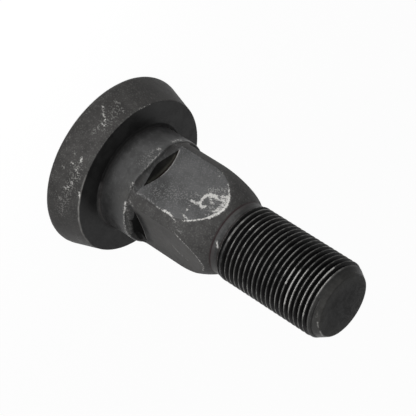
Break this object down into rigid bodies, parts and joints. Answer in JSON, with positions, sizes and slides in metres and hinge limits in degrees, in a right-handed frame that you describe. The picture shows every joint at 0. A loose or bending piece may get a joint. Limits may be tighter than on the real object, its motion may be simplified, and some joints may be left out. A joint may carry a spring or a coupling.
{
  "type": "blade bolt",
  "caption": "Round-headed blade bolt with a round neck, a square section with relief pockets, a domed shoulder and a fine left-hand thread.",
  "frame": {"origin": "centre of the head's outer face, which the bolt stands on", "axes": "+Z along the bolt from the head to the thread's end; the square's flats face +X, -X, +Y and -Y"},
  "size_m": [0.0588, 0.0588, 0.0963],
  "materials": {
    "black_steel": "black phosphate and oil, satin, worn to bright steel at some edges"
  },
  "bodies": {
    "root": {"blade_bolt": "black_steel"}
  },
  "joints": []
}
